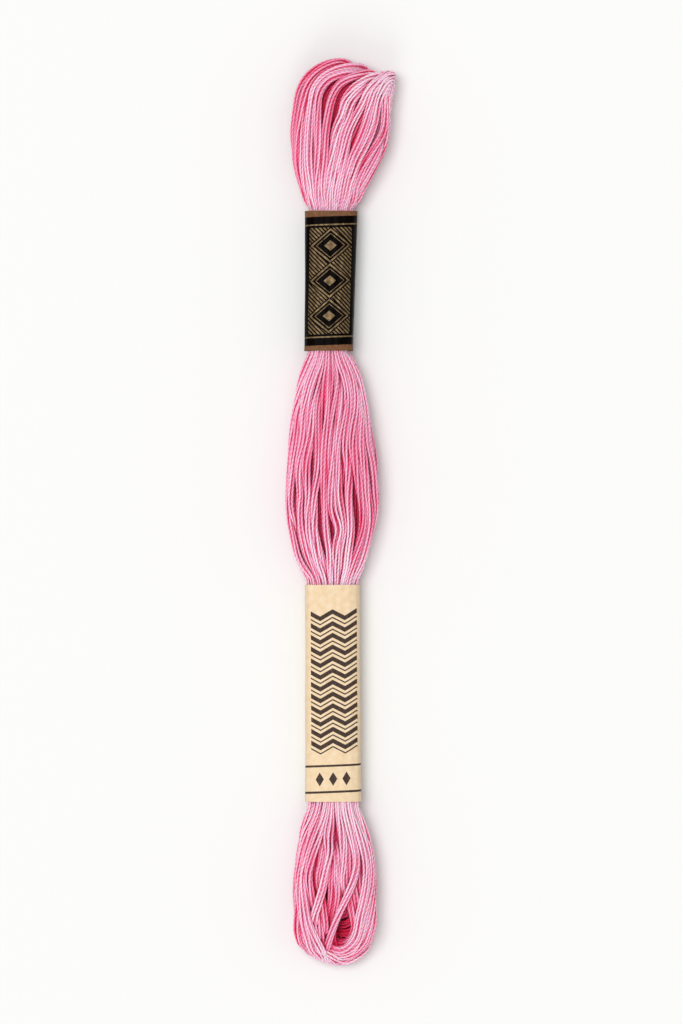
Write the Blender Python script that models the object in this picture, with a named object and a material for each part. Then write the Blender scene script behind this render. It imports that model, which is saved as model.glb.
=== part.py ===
"""A hank of six-strand embroidery floss, held flat by two paper bands.

The floss is wound as a ring of many turns. The ring is pulled long and flat, so its two legs
lie side by side with a narrow slit between them: they bulge between the bands, and join over
an arch at the top and a round bend at the bottom. Each leg shows its main twists as ridges.

Frame: metres, +Z up. The hank lies on the XY plane with its length along Y, the long arch
towards +Y, and the origin under the middle of its bounding box.
"""

import math
from collections import namedtuple

import bmesh
import bpy
import numpy as np

MM = 0.001

# Driving sizes, in millimetres. The clearance between paper and floss is the one at the flats:
# it narrows to 0.3 mm at the rounded corners.
PAPER_WALL = 0.3
PAPER_CLEARANCE = 0.55
PAPER_SQUARENESS = 3.0
BAND_UNDER = 0.9
BAND_TOP = 7.0
BAND_STEPS = 48
SHARP_ANGLE = math.radians(60)
NECK_RUNOUT = 0.4
NECK_GAP = 0.3
STATION_SPACING = 3.4
FULL_HALF_HEIGHT = 4.7
TWIST_DEPTH = 0.7
SWAY_LENGTH = 70.0

# The main twists of a leg: how many show, the angles in degrees round the leg's section where
# they begin and end, how far these sway along it, and the angles of the plain points.
MAIN_TWISTS = 6
STEPS_PER_TWIST = 4
FIRST_TWIST = 160.0
LAST_TWIST = -52.0
TWIST_SWAY = 6.0
PLAIN_ANGLES = (-72, -92, -130, -150, -178)
OUTLINE_STEPS = 240
RAY_SPACING = 13.0

# A leg's section is squarer towards the slit, and is cut flat on its underside.
INNER_SQUARENESS = 0.42
FLAT_UNDERSIDE = 1.07

# The paper bands: for each of their two ends, the edges and the middle of the slit inside.
BandEnd = namedtuple("BandEnd", "y left right slit")
BANDS = {
    "band_lower": (BandEnd(-51.8, -6.52, 3.39, -1.60), BandEnd(-13.0, -6.60, 3.15, -1.75)),
    "band_upper": (BandEnd(28.9, -6.70, 1.82, -2.42), BandEnd(53.95, -6.60, 2.73, -1.95)),
}

# The two legs outside the bands, from the bend to the arch, in millimetres: the hank's left and
# right edges, the middle and width of the slit between its legs, its underside and its top.
Leg = namedtuple("Leg", "y left right slit gap under top")
LEGS = (
    Leg(-72.0, -9.38, 6.63, 0.62, 1.10, 0.00, 8.6),
    Leg(-66.3, -8.95, 6.40, 0.10, 0.45, 0.00, 8.9),
    Leg(-61.4, -8.45, 6.00, -0.60, 0.35, 0.00, 8.8),
    Leg(-57.2, -7.90, 5.10, -1.20, 0.30, 0.30, 8.2),
    Leg(-53.2, -6.55, 3.40, -1.55, 0.30, 1.10, 7.0),
    Leg(-11.6, -6.85, 3.50, -1.75, 0.30, 1.10, 7.1),
    Leg(-8.9, -8.25, 4.35, -1.85, 0.35, 0.30, 8.3),
    Leg(-5.4, -9.30, 5.45, -1.95, 0.60, 0.00, 9.2),
    Leg(-2.2, -9.90, 6.20, -2.00, 1.20, 0.00, 9.5),
    Leg(1.5, -10.18, 6.75, -2.00, 0.60, 0.00, 9.6),
    Leg(8.9, -9.90, 6.50, -1.95, 0.35, 0.00, 9.4),
    Leg(15.5, -9.50, 5.50, -2.05, 0.30, 0.00, 8.9),
    Leg(23.7, -8.10, 3.85, -2.30, 0.30, 0.40, 7.9),
    Leg(27.6, -6.85, 2.30, -2.40, 0.30, 1.10, 6.9),
    Leg(55.2, -6.75, 3.15, -1.85, 0.30, 1.10, 7.0),
    Leg(57.4, -7.55, 4.15, -1.70, 0.30, 0.40, 7.9),
    Leg(60.8, -8.60, 6.35, -1.40, 0.40, 0.00, 8.7),
    Leg(64.0, -9.10, 8.10, -1.25, 0.60, 0.00, 9.0),
    Leg(68.4, -9.38, 8.80, -1.20, 1.20, 0.00, 9.1),
    Leg(72.6, -8.90, 9.00, -1.30, 1.80, 0.00, 9.0),
)

# The arch and the bend, as rays from the middle of the eye that each encloses: the ray's
# angle in degrees, how far out it meets the eye's edge and the hank's edge, and the top there.
Ray = namedtuple("Ray", "angle eye edge top")
ARCH_MIDDLE = (-1.3, 73.3)
ARCH = (
    Ray(172, 0.95, 7.50, 9.0),
    Ray(150, 1.05, 7.55, 8.8),
    Ray(128, 1.50, 7.65, 8.6),
    Ray(103, 2.60, 7.90, 8.4),
    Ray(78, 3.60, 8.40, 8.3),
    Ray(58, 3.70, 8.90, 8.3),
    Ray(41, 2.90, 9.15, 8.4),
    Ray(36, 2.50, 9.35, 8.4),
    Ray(31, 2.10, 12.20, 8.4),
    Ray(25, 1.75, 12.50, 8.4),
    Ray(16, 1.35, 11.55, 8.6),
    Ray(5, 1.05, 10.55, 8.9),
)
BEND_MIDDLE = (0.6, -73.2)
BEND = (
    Ray(184, 0.65, 10.00, 8.6),
    Ray(204, 0.80, 9.80, 8.5),
    Ray(222, 1.20, 9.25, 8.2),
    Ray(243, 2.10, 8.55, 7.8),
    Ray(265, 2.90, 8.25, 7.6),
    Ray(285, 2.90, 7.60, 7.6),
    Ray(303, 2.10, 6.95, 7.9),
    Ray(321, 1.30, 6.50, 8.3),
    Ray(340, 0.80, 6.10, 8.5),
    Ray(356, 0.65, 6.00, 8.6),
)

# Base colour (linear), roughness.
FINISHES = {
    "floss_pink": ((0.76, 0.22, 0.34), 0.6),
    "paper_black": ((0.012, 0.009, 0.008), 0.5),
    "paper_cream": ((0.90, 0.71, 0.49), 0.75),
}


def clear_scene():
    for obj in list(bpy.data.objects):
        bpy.data.objects.remove(obj, do_unlink=True)


def material(name):
    colour, roughness = FINISHES[name]
    made = bpy.data.materials.new(name)
    made.use_nodes = True
    shader = made.node_tree.nodes["Principled BSDF"]
    shader.inputs["Base Color"].default_value = (*colour, 1.0)
    shader.inputs["Roughness"].default_value = roughness
    shader.inputs["Metallic"].default_value = 0.0
    return made


def smooth_rows(rows, at):
    """Every column of rows, read at each key of at on a cubic that never overshoots a row."""
    table = np.array(rows, float)
    keys, values = table[:, 0], table[:, 1:]
    run = np.diff(keys)[:, None]
    slope = np.diff(values, axis=0) / run
    before, after = slope[:-1], slope[1:]
    same_way = before * after > 0
    total = np.where(same_way, before + after, 1.0)
    tangent = np.zeros_like(values)
    tangent[1:-1] = np.where(same_way, 2 * before * after / total, 0.0)
    tangent[0], tangent[-1] = slope[0], slope[-1]
    cell = np.clip(np.searchsorted(keys, at, side="right") - 1, 0, len(keys) - 2)
    part = ((at - keys[cell]) / np.diff(keys)[cell])[:, None]
    start, end = values[cell], values[cell + 1]
    leave, arrive = tangent[cell] * run[cell], tangent[cell + 1] * run[cell]
    return (
        start * (2 * part**3 - 3 * part**2 + 1)
        + leave * (part**3 - 2 * part**2 + part)
        + end * (3 * part**2 - 2 * part**3)
        + arrive * (part**3 - part**2)
    )


def neck_rows(near, far):
    """The straight neck that a band holds: its two ends, just outside the paper's edges."""
    inset = PAPER_WALL + PAPER_CLEARANCE
    under, top = BAND_UNDER + inset, BAND_TOP - inset
    ends = ((near, near.y - NECK_RUNOUT), (far, far.y + NECK_RUNOUT))
    return [Leg(y, end.left + inset, end.right - inset, end.slit, NECK_GAP, under, top) for end, y in ends]


def fill_in(rows, spacing):
    """The rows' keys, with even steps between two that are further apart than the spacing.

    A straight neck, whose two ends have the same top, needs no row between them."""
    filled = []
    neck_top = BAND_TOP - PAPER_WALL - PAPER_CLEARANCE
    for row, after in zip(rows, rows[1:]):
        in_band = row.top == after.top == neck_top
        count = 1 if in_band else math.ceil((after[0] - row[0]) / spacing)
        filled += list(np.linspace(row[0], after[0], count, endpoint=False))
    return np.array(filled + [rows[-1][0]])


def leg_stations():
    """(inner edge, outer edge, underside, top) along the left leg, then along the right one."""
    necks = [row for ends in BANDS.values() for row in neck_rows(*ends)]
    rows = sorted(necks + list(LEGS))
    ys = fill_in(rows, STATION_SPACING)
    left, right, slit, gap, under, top = smooth_rows(rows, ys).T
    legs = []
    for outer, side in ((left, -0.5), (right, 0.5)):
        inner = slit + side * gap
        legs.append(np.column_stack([inner, ys, outer, ys, under, top]))
    return legs


def bend_stations(rays, middle):
    """The same columns round the arch or the bend, where the underside is flat on the surface."""
    rays = sorted(rays, key=lambda ray: ray.angle)
    angles = fill_in(rays, RAY_SPACING)
    eye, edge, top = smooth_rows(rays, angles).T
    along_x, along_y = np.cos(np.radians(angles)), np.sin(np.radians(angles))
    inner = np.column_stack([middle[0] + eye * along_x, middle[1] + eye * along_y])
    outer = np.column_stack([middle[0] + edge * along_x, middle[1] + edge * along_y])
    return np.column_stack([inner, outer, np.zeros(len(angles)), top])


def ring_stations():
    """All stations in order: up the left leg, over the arch, down the right leg, round the bend."""
    left, right = leg_stations()
    arch = bend_stations(ARCH, ARCH_MIDDLE)[::-1]
    bend = bend_stations(BEND, BEND_MIDDLE)[::-1]
    return np.vstack([left, arch, right[::-1], bend])


def lobe(angles):
    """A leg's section as a unit outline: round on its outer side, squarer towards the slit."""
    side, rise = np.cos(angles), np.sin(angles)
    power = np.where(side > 0, 1.0, INNER_SQUARENESS)
    return np.column_stack([np.sign(side) * np.abs(side) ** power, np.sign(rise) * np.abs(rise) ** power])


def rim(sway):
    """Points of the unit outline, and how deep in a groove between main twists each is.

    The main twists are evenly wide along the top and the outer side. The underside lies flat,
    and the inner side faces the other leg, so both are plain."""
    fine = np.radians(np.linspace(FIRST_TWIST + sway, LAST_TWIST + sway, OUTLINE_STEPS))
    lengths = np.linalg.norm(np.diff(lobe(fine), axis=0), axis=1)
    along = np.concatenate([[0.0], np.cumsum(lengths)])
    even = np.linspace(0.0, along[-1], MAIN_TWISTS * STEPS_PER_TWIST + 1)
    groove = 1 - np.abs(np.sin(np.linspace(0, MAIN_TWISTS * math.pi, len(even))))
    angles = np.concatenate([np.interp(even, along, fine), np.radians(PLAIN_ANGLES)])
    return lobe(angles), np.concatenate([groove, np.zeros(len(PLAIN_ANGLES))])


def section(station, along):
    """The closed outline of one leg at one station, as points in millimetres."""
    inner, outer = station[0:2], station[2:4]
    under, top = station[4:6]
    half_height = (top - under) / 2
    outline, groove = rim(TWIST_SWAY * math.sin(2 * math.pi * along / SWAY_LENGTH))
    depth = TWIST_DEPTH * (half_height / FULL_HALF_HEIGHT) ** 2
    across, lift = (outline * (1 - groove * depth / half_height)[:, None]).T
    lift = np.where(lift < 0, FLAT_UNDERSIDE * lift, lift)
    middle, reach = (inner + outer) / 2, (outer - inner) / 2
    z = np.maximum(under, top - half_height + half_height * lift)
    return np.column_stack([middle + across[:, None] * reach, z])


def object_from(bm, name, finish):
    bmesh.ops.recalc_face_normals(bm, faces=bm.faces)
    mesh = bpy.data.meshes.new(name)
    bm.to_mesh(mesh)
    bm.free()
    mesh.shade_smooth()
    mesh.set_sharp_from_angle(angle=SHARP_ANGLE)
    mesh.materials.append(material(finish))
    made = bpy.data.objects.new(name, mesh)
    bpy.context.collection.objects.link(made)
    return made


def bridge_rings(bm, rings):
    """Faces between each ring of vertices and the next, and from the last back to the first."""
    for ring, after in zip(rings, rings[1:] + rings[:1]):
        for i in range(len(ring)):
            j = (i + 1) % len(ring)
            bm.faces.new((ring[i], ring[j], after[j], after[i]))


def hank_sections():
    """The outline at every station of the ring, in order along it."""
    stations = ring_stations()
    middles = (stations[:, 0:2] + stations[:, 2:4]) / 2
    steps = np.linalg.norm(np.diff(middles, axis=0), axis=1)
    along = np.concatenate([[0.0], np.cumsum(steps)])
    return np.array([section(station, distance) for station, distance in zip(stations, along)])


def hank(sections, origin):
    bm = bmesh.new()
    rings = [[bm.verts.new(point) for point in outline] for outline in (sections - origin) * MM]
    bridge_rings(bm, rings)
    return object_from(bm, "hank", "floss_pink")


def band_ring(bm, end, shrink, origin):
    """One edge loop of a band: a rounded rectangle, shrink millimetres inside its outer face."""
    half_width = (end.right - end.left) / 2 - shrink
    half_height = (BAND_TOP - BAND_UNDER) / 2 - shrink
    ring = []
    for i in range(BAND_STEPS):
        angle = 2 * math.pi * i / BAND_STEPS
        side, rise = math.cos(angle), math.sin(angle)
        radius = (abs(side) ** PAPER_SQUARENESS + abs(rise) ** PAPER_SQUARENESS) ** (-1 / PAPER_SQUARENESS)
        point = np.array([
            (end.left + end.right) / 2 + half_width * radius * side,
            end.y,
            (BAND_TOP + BAND_UNDER) / 2 + half_height * radius * rise,
        ])
        ring.append(bm.verts.new((point - origin) * MM))
    return ring


def band(name, finish, origin):
    """A paper sleeve: its outer face, its far edge, its inner face and its near edge, in turn."""
    near, far = BANDS[name]
    bm = bmesh.new()
    loops = ((near, 0.0), (far, 0.0), (far, PAPER_WALL), (near, PAPER_WALL))
    rings = [band_ring(bm, end, shrink, origin) for end, shrink in loops]
    bridge_rings(bm, rings)
    return object_from(bm, name, finish)


def under_middle(sections):
    """The point on the surface under the middle of the hank's bounding box."""
    low, high = sections.min(axis=(0, 1)), sections.max(axis=(0, 1))
    return np.array([(low[0] + high[0]) / 2, (low[1] + high[1]) / 2, low[2]])


def main():
    clear_scene()
    sections = hank_sections()
    origin = under_middle(sections)
    hank(sections, origin)
    band("band_upper", "paper_black", origin)
    band("band_lower", "paper_cream", origin)


main()
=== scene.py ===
# %% [markdown]
# # A hank of embroidery floss
# A hank is eight metres of six-strand cotton, wound as a ring, pressed flat, and held by two
# paper bands. This lesson winds it the way the winder does: one thread, round and round, first
# as a bundle, then as its six separate strands. Each strand becomes a thin tube of real size.
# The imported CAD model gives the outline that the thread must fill, so it is loaded first.

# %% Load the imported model
import math

import bpy
import numpy as np
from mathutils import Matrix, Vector, kdtree
from mathutils.bvhtree import BVHTree


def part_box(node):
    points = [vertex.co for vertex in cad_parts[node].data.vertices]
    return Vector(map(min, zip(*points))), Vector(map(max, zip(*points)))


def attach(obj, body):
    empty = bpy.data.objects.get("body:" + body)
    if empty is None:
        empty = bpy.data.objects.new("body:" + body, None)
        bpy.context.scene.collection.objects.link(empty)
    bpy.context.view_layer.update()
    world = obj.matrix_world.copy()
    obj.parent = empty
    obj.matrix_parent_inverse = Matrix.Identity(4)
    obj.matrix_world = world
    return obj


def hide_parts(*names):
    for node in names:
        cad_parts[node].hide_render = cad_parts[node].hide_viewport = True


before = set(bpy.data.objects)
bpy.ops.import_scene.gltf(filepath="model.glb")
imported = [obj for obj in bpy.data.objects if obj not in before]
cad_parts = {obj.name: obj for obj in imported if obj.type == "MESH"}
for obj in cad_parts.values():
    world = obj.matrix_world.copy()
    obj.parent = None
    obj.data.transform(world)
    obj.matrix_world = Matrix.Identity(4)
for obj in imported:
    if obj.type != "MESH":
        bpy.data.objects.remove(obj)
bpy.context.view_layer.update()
print("CAD nodes:", sorted(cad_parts))

# %% [markdown]
# Everything is measured in millimetres here, because thread and paper are. Blender gets metres
# at the very end, when a mesh is made. All chance comes from one seed, so each run is the same.

# %% Units and chance
MM = 0.001
chance = np.random.default_rng(24)


def smooth(share):
    """0 to 1 with a soft start and a soft end."""
    share = np.clip(share, 0.0, 1.0)
    return share * share * (3.0 - 2.0 * share)


# %% [markdown]
# The outline is felt on the CAD body with rays, as fingers would feel it: from the left and
# from the right along the legs, and from outside towards the middle of each loop at the ends.
# Inside the paper bands the thread may fill the paper, so there the outline is the paper's own
# inner face.

# %% Feel the outline of the CAD body
FEELING_HEIGHTS = (2.6, 3.4, 4.2, 5.0, 5.8)
FAR = 60.0
ARCH_MIDDLE = np.array([-1.2, 73.0])
BEND_MIDDLE = np.array([0.7, -73.2])
PAPER_WALL = 0.14
PAPER_PLAY = 0.12
BANDS = ("band_lower", "band_upper")
LEG_SPACING = 1.2
ARCH_RAYS = np.arange(4, 178, 4)
BEND_RAYS = np.arange(184, 358, 4)


def solid(name):
    """The CAD node as a tree that rays can hit, in millimetres."""
    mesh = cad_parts[name].data
    points = [vertex.co / MM for vertex in mesh.vertices]
    return BVHTree.FromPolygons(points, [tuple(face.vertices) for face in mesh.polygons])


def felt_from(tree, start, toward):
    """The outermost point met on the way from start, at any of the feeling heights."""
    start, toward = np.array(start, float), np.array(toward, float)
    way = (toward - start) / np.linalg.norm(toward - start)
    reaches = [tree.ray_cast(Vector((*start, z)), Vector((*way, 0.0)))[3] for z in FEELING_HEIGHTS]
    return start + way * min(reach for reach in reaches if reach is not None)


bodies = {name: solid(name) for name in ("hank",) + BANDS}
band_ends = {name: [corner[1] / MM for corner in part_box(name)] for name in BANDS}


def side_point(y, side):
    """The outline's point at height y, on the left (-1) or the right (1)."""
    for name, (low, high) in band_ends.items():
        if low < y < high:
            felt = felt_from(bodies[name], (side * FAR, y), (0.0, y))
            return felt - [side * (PAPER_WALL + PAPER_PLAY), 0.0]
    return felt_from(bodies["hank"], (side * FAR, y), (0.0, y))


def rim_points(middle, angles):
    """The outline round one end, felt towards its middle."""
    rays = [np.array([math.cos(angle), math.sin(angle)]) for angle in np.radians(angles)]
    return [felt_from(bodies["hank"], middle + FAR * ray, middle) for ray in rays]


leg_ys = np.arange(BEND_MIDDLE[1], ARCH_MIDDLE[1] + 0.1, LEG_SPACING)
right_side = [side_point(y, 1) for y in leg_ys]
left_side = [side_point(y, -1) for y in leg_ys]
arch_rim = rim_points(ARCH_MIDDLE, ARCH_RAYS)
bend_rim = rim_points(BEND_MIDDLE, BEND_RAYS)
OUTLINE = np.array(right_side + arch_rim + left_side[::-1] + bend_rim)


def edges_at(y):
    """The outline's left and right edge at height y of the legs."""
    return [np.interp(y, leg_ys, [point[0] for point in side]) for side in (left_side, right_side)]


print("Outline:", len(OUTLINE), "points, from", OUTLINE.min(0).round(2), "to", OUTLINE.max(0).round(2))

# %% [markdown]
# Each point of thread will ask many times how deep it lies inside the outline. So the answer is
# worked out once on a grid, and read from there.

# %% A map of the depth inside the outline
CELL = 0.25
MAP_CORNER = np.array([-14.0, -86.0])
MAP_SIZE = (113, 689)


def depth_inside(points):
    """Distance to the outline, positive inside it."""
    starts, ends = OUTLINE, np.roll(OUTLINE, -1, axis=0)
    nearest = np.full(len(points), 1e9)
    windings = np.zeros(len(points))
    for start, end in zip(starts, ends):
        edge, offset = end - start, points - start
        share = np.clip(offset @ edge / (edge @ edge), 0, 1)
        nearest = np.minimum(nearest, np.linalg.norm(offset - share[:, None] * edge, axis=1))
        crosses = (start[1] > points[:, 1]) != (end[1] > points[:, 1])
        reach = start[0] + (points[:, 1] - start[1]) * edge[0] / (edge[1] or 1e-9)
        windings += crosses & (points[:, 0] < reach)
    return np.where(windings % 2 == 1, nearest, -nearest)


grid_x = MAP_CORNER[0] + CELL * np.arange(MAP_SIZE[0])
grid_y = MAP_CORNER[1] + CELL * np.arange(MAP_SIZE[1])
grid = np.stack(np.meshgrid(grid_x, grid_y, indexing="ij"), axis=-1)
depth_map = depth_inside(grid.reshape(-1, 2)).reshape(MAP_SIZE)
slope_maps = np.gradient(depth_map, CELL)
print("Deepest place inside the outline:", round(float(depth_map.max()), 2), "mm")


def read_map(values, x, y):
    """The map's value at x and y, between its grid points."""
    across = np.clip((x - MAP_CORNER[0]) / CELL, 0, MAP_SIZE[0] - 1.001)
    along = np.clip((y - MAP_CORNER[1]) / CELL, 0, MAP_SIZE[1] - 1.001)
    i, j = across.astype(int), along.astype(int)
    s, t = across - i, along - j
    low = values[i, j] * (1 - s) + values[i + 1, j] * s
    high = values[i, j + 1] * (1 - s) + values[i + 1, j + 1] * s
    return low * (1 - t) + high * t


# %% [markdown]
# The thickness is felt from above. A hank is thick in its belly, and thin where paper holds it
# just off the table.

# %% Feel the thickness
BAND_TOP = 7.0
BAND_UNDER = 0.9
top_rows = np.linspace(-80.5, 79.0, 80)


def felt_top(y):
    """The highest point at height y: of the CAD body, or of the inside of a paper band."""
    if any(low - 0.5 < y < high + 0.5 for low, high in band_ends.values()):
        return BAND_TOP - PAPER_WALL - PAPER_PLAY
    down = Vector((0, 0, -1))
    reaches = [bodies["hank"].ray_cast(Vector((x, y, FAR)), down)[3] for x in range(-9, 11)]
    return FAR - min(reach for reach in reaches if reach is not None)


tops = np.array([felt_top(y) for y in top_rows])


def from_band(y):
    """Distance along the hank to the nearest paper band, 0 inside one."""
    gaps = [np.maximum(np.maximum(low - y, y - high), 0.0) for low, high in band_ends.values()]
    return np.minimum(*gaps)


def near_band(y, reach=4.5):
    """1 inside the bands, falling softly to 0 at reach from them."""
    return smooth(1.0 - from_band(np.asarray(y, float)) / reach)


def level_at(y):
    """Middle and half of the thickness at height y."""
    top = np.interp(y, top_rows, tops)
    under = (BAND_UNDER + PAPER_WALL + PAPER_PLAY) * near_band(y)
    return (top + under) / 2, (top - under) / 2


print("Thickness from", round(float(tops.min()), 2), "to", round(float(tops.max()), 2), "mm")

# %% [markdown]
# The skin of the hank is that outline blown up like a pillow: round at the rim and flatter in
# the middle. A point of thread that has left the pillow is drawn back along the shortest way.

# %% Keep the thread inside its skin
def skin_shape(y):
    """How far the rounding of the rim reaches inwards, and how square it is."""
    held = near_band(y)
    return 5.2 - 2.4 * held, 2.25 + 0.65 * held


def skin_height(x, y, radius, side):
    """Where a thread of that radius touches the skin from inside: side 1 is its top."""
    reach, square = skin_shape(y)
    rim = np.clip(1 - (read_map(depth_map, x, y) - radius) / reach, 0, 1)
    middle, half = level_at(y)
    return middle + side * (half - radius) * (1 - rim**square) ** (1 / square)


def draw_back(points, radius):
    """Moves the points that are outside the skin back onto it."""
    x, y, z = points.T
    reach, square = skin_shape(y)
    middle, half = level_at(y)
    half = half - radius
    rim = np.clip(1 - (read_map(depth_map, x, y) - radius) / reach, 0, 3)
    rise = (z - middle) / half
    out = (rim**square + np.abs(rise) ** square) ** (1 / square)
    pull = 1 / np.maximum(out, 1.0)
    inward = (rim - rim * pull) * reach
    points[:, 0] += inward * read_map(slope_maps[0], x, y)
    points[:, 1] += inward * read_map(slope_maps[1], x, y)
    points[:, 2] = middle + rise * pull * half


print("Skin at the belly's middle:", round(float(skin_height(-1.7, 1.0, 0.0, 1)), 2), "mm high")

# %% [markdown]
# A smooth line through a few knots is all that a thread's path needs. The Catmull-Rom curve
# passes through every knot, and the line is then divided into even steps.

# %% Smooth lines through knots
def lengths_along(line):
    """The length of a line up to each of its points."""
    return np.r_[0, np.cumsum(np.linalg.norm(np.diff(line, axis=0), axis=1))]


def resample(line, step):
    """The same line with even steps."""
    lengths = lengths_along(line)
    marks = np.linspace(0, lengths[-1], max(2, int(round(lengths[-1] / step)) + 1))
    return np.column_stack([np.interp(marks, lengths, column) for column in line.T])


def through(knots, step, parts=12):
    """A Catmull-Rom curve through the knots, in even steps."""
    knots = np.asarray(knots, float)
    padded = np.vstack([2 * knots[0] - knots[1], knots, 2 * knots[-1] - knots[-2]])
    a, b, c, d = (padded[k : len(padded) - 3 + k, None, :] for k in range(4))
    t = np.linspace(0, 1, parts, endpoint=False)[None, :, None]
    curve = 0.5 * (2 * b + (c - a) * t + (2 * a - 5 * b + 4 * c - d) * t**2)
    curve = curve + 0.5 * (3 * b - a - 3 * c + d) * t**3
    return resample(np.vstack([curve.reshape(-1, knots.shape[1]), knots[-1:]]), step)


print("Points of a curve through 3 knots:", len(through([(0, 0, 0), (1, 0, 0), (2, 1, 0)], 0.1)))

# %% [markdown]
# 8 m of floss in a ring 163 mm long makes 24 turns, so 48 passes go through each paper band.
# They lie in the band as six rows of eight. The three upper rows are the way up, the three lower
# rows the way down. In the belly, where the hank puffs up, the same 48 open out into four layers
# of twelve. A pass keeps its neighbours all the way, as real floss does.

# %% The places of the 48 passes
ROWS, COLUMNS = 6, 8
LAYERS, PER_LAYER = 4, 12
TURNS = 24


def band_place(row, column):
    """A pass's place in a band, from -1 to 1 across and from -1 to 1 up."""
    stagger = 0.22 if row % 2 else -0.22
    return (column + 0.5 + stagger) / COLUMNS * 2 - 1, (row + 0.5) / ROWS * 2 - 1


def layer_passes(outer_row, shared_row, shared_from):
    """The twelve band places that open out into one layer, from left to right."""
    places = [band_place(outer_row, column) for column in range(COLUMNS)]
    places += [band_place(shared_row, column) for column in range(shared_from, COLUMNS, 2)]
    return sorted(places)


# Layer 0 is the upper surface, 1 fills the gaps from below, 2 lies on 3, and 3 lies on the table.
LAYER_ROWS = ((5, 4, 1), (3, 4, 0), (2, 1, 0), (0, 1, 1))
BAND_PLACES = [layer_passes(*rows) for rows in LAYER_ROWS]
LAYER_SIDES = (1, 1, -1, -1)
INSETS = (0.5, 1.6, 1.6, 0.5)


def place_at(layer, member, y):
    """Where a pass crosses height y: x and z, by blending its band place into its layer."""
    held = near_band(y, 16.0) ** 1.4
    left, right = edges_at(y)
    middle, half = level_at(y)
    square = 2.4 + 1.2 * held
    # Free: evenly round the skin, the inner layers half a place aside.
    shift = 0.5 if layer in (0, 3) else (0.9 if member < 6 else 0.1)
    angle = math.pi * (1 - (member + shift) / PER_LAYER)
    aside = abs(math.cos(angle)) ** (2 / square) * np.sign(math.cos(angle))
    above = math.sin(angle) ** (2 / square)
    free_x = (left + right) / 2 + aside * ((right - left) / 2 - INSETS[layer])
    free_z = middle + LAYER_SIDES[layer] * above * (half - INSETS[layer])
    # Held: in its row and column.
    across, up = BAND_PLACES[layer][member]
    held_x = (left + right) / 2 + across * ((right - left) / 2 - 0.5)
    held_z = middle + up * (half - 0.5) * (1 - abs(across) ** square) ** (1 / square)
    return held_x * held + free_x * (1 - held), held_z * held + free_z * (1 - held)


print("Passes in a band:", sum(len(layer) for layer in BAND_PLACES))

# %% [markdown]
# The belly's strands don't run evenly. Handling has parted them in a few places, and the dark
# inside shows there. Each parting pushes the strands on its left to the left and those on its
# right to the right, most at its middle.

# %% Partings in the belly
# Middle x, middle y, half length, how far it opens.
PARTINGS = (
    (-3.6, 20.0, 6.0, 0.20), (0.4, 18.0, 7.0, 0.15), (-6.6, 17.0, 6.0, 0.20), (3.1, 20.0, 6.0, 0.15),
    (-1.4, -60.5, 6.0, 0.10), (-4.4, -64.0, 5.0, 0.25), (3.2, -62.0, 5.0, 0.30),
)
# In the middle of the belly the strands bow round one small eye, as the layers of an onion do.
# So there the place of each upper strand is read from the photograph: x of the twelve, at eight
# heights.
BELLY_YS = (14.0, 8.0, 3.0, 0.0, -3.0, -6.0, -9.0, -12.0)
BELLY_XS = np.array([
    (-8.9, -8.0, -6.8, -5.6, -4.4, -3.2, -2.0, -0.7, 0.5, 1.8, 3.2, 4.7),
    (-9.4, -8.9, -7.8, -6.7, -4.3, -3.1, -2.0, -0.6, 1.2, 2.7, 4.1, 5.8),
    (-9.5, -9.2, -7.1, -6.1, -5.1, -2.9, -1.9, -0.5, 1.1, 3.3, 4.4, 6.0),
    (-9.5, -9.3, -7.1, -6.1, -5.1, -2.8, -1.5, 0.1, 1.3, 3.7, 4.8, 6.2),
    (-9.4, -9.1, -6.8, -5.8, -4.9, -2.9, -0.4, 0.6, 1.5, 3.7, 4.8, 6.2),
    (-8.9, -8.5, -6.1, -5.2, -4.2, -2.3, -0.9, 0.2, 1.2, 3.1, 4.3, 5.6),
    (-8.0, -7.5, -5.3, -4.4, -3.5, -1.9, -1.1, -0.1, 0.9, 2.2, 3.5, 4.7),
    (-6.6, -6.0, -4.5, -3.7, -2.8, -1.9, -1.1, -0.1, 0.8, 1.8, 2.8, 3.8),
])
# How deep each of them runs, in mm, and the same for the lower ones: deepest where a slit lies above.
BELLY_DEPTHS = (
    (0.0, 0.0, 0.1, 0.0, 0.3, 0.0, 0.0, 0.6, 0.3, 0.0, 0.1, 0.0),
    (1.2, 2.0, 1.2, 2.0, 2.1, 2.2, 1.3, 1.2, 2.1, 1.3, 1.4, 1.2),
)


def bowed(x, y, z, layer, member):
    """Draws a pass of the two upper layers to its place in the onion. The lower one fills the gaps."""
    if layer > 1 or not -13.0 < y < 26.0:
        return x, z
    held = min(smooth((27.0 - y) / 17.0), smooth((y + 13.0) / 3.0))
    order = min(member + 0.5 * layer, PER_LAYER - 1)
    row = [np.interp(order, range(PER_LAYER), xs) for xs in BELLY_XS]
    wanted = np.interp(-y, [-height for height in BELLY_YS], row)
    depth = BELLY_DEPTHS[layer][member] * (smooth((18.0 - y) / 8.0) if layer == 0 else 1.0)
    surface = float(skin_height(np.array(wanted), np.array(y), 0.6, 1)) - depth
    return x + held * (wanted - x), z + held * (surface - z)


def parted(x, y, layer, member):
    """How far the partings push a pass sideways at height y."""
    shift = 0.0
    for middle_x, middle_y, half_length, opening in PARTINGS:
        side = 1.0 if place_at(layer, member, middle_y)[0] > middle_x else -1.0
        lens = max(0.0, 1 - ((y - middle_y) / half_length) ** 2) ** 1.5
        shift += side * opening * lens * math.exp(-(((x - middle_x) / 2.2) ** 2))
    return shift * (1.0, 0.7, 0.0, 0.0)[layer]


LEG_STEP = 3.0
wander_seed = chance.uniform(0, 2 * math.pi, (LAYERS, PER_LAYER, 4))


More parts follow.
